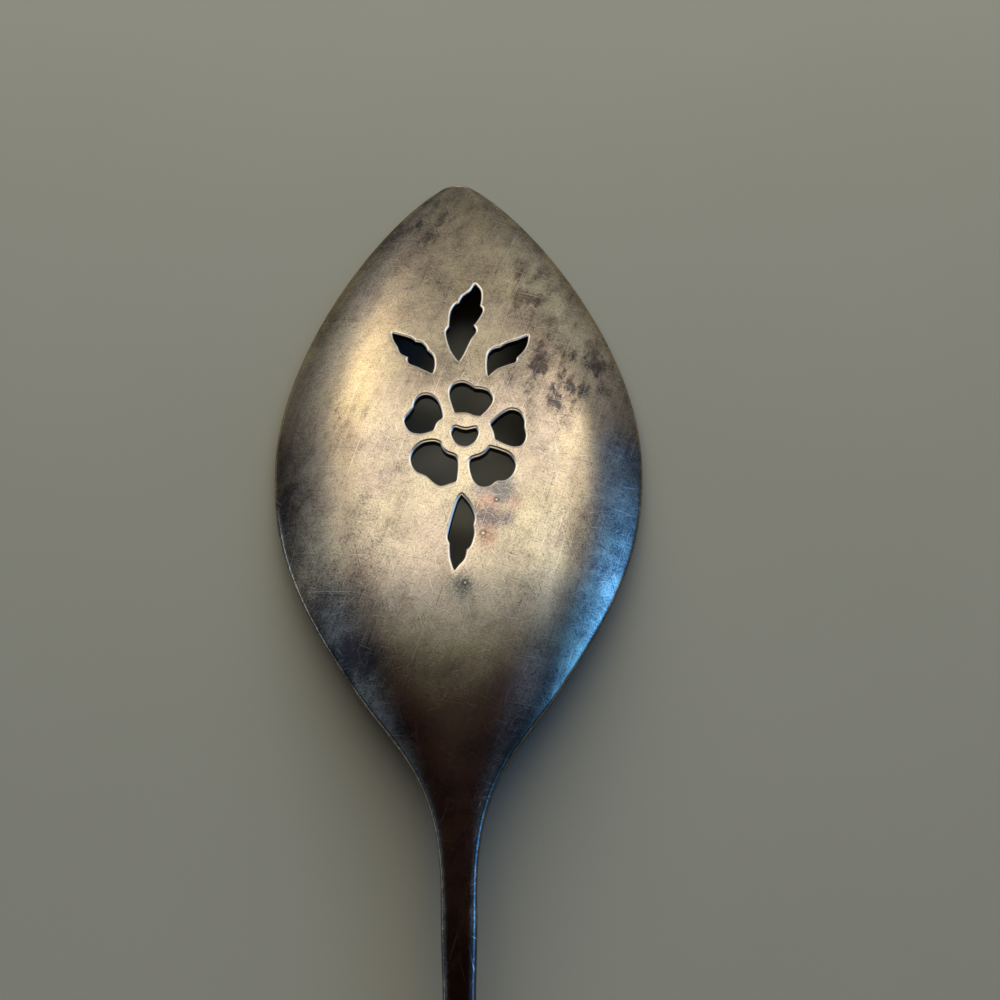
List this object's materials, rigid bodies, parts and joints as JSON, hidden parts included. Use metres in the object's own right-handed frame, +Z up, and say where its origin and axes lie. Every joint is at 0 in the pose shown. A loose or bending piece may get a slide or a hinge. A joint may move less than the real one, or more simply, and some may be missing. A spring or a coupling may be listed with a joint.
{
  "type": "tomato server",
  "caption": "Almond-shaped serving blade, dished and lying dome up, pierced with a flower and leaves, drawn into a slender shank whose tang is cemented into a hollow soldered handle.",
  "frame": {"origin": "on the plane the server rests on, under the middle of its bounding box", "axes": "+Y to the blade's tip, +Z up, +X to the right seen from the handle"},
  "size_m": [0.058, 0.2378, 0.0104],
  "materials": {
    "blade_silver_plate": "silver plate worn to a soft satin, with grey tarnish and fine scratches",
    "handle_silver_plate": "silver plate, smoother than the blade, lightly tarnished",
    "handle_cement": "hardened brown pitch cement"
  },
  "bodies": {
    "root": {"pierced_blade": "blade_silver_plate", "handle_collar": "handle_silver_plate", "handle_front_shell": "handle_silver_plate", "handle_back_shell": "handle_silver_plate", "tang_cement": "handle_cement"}
  },
  "joints": []
}
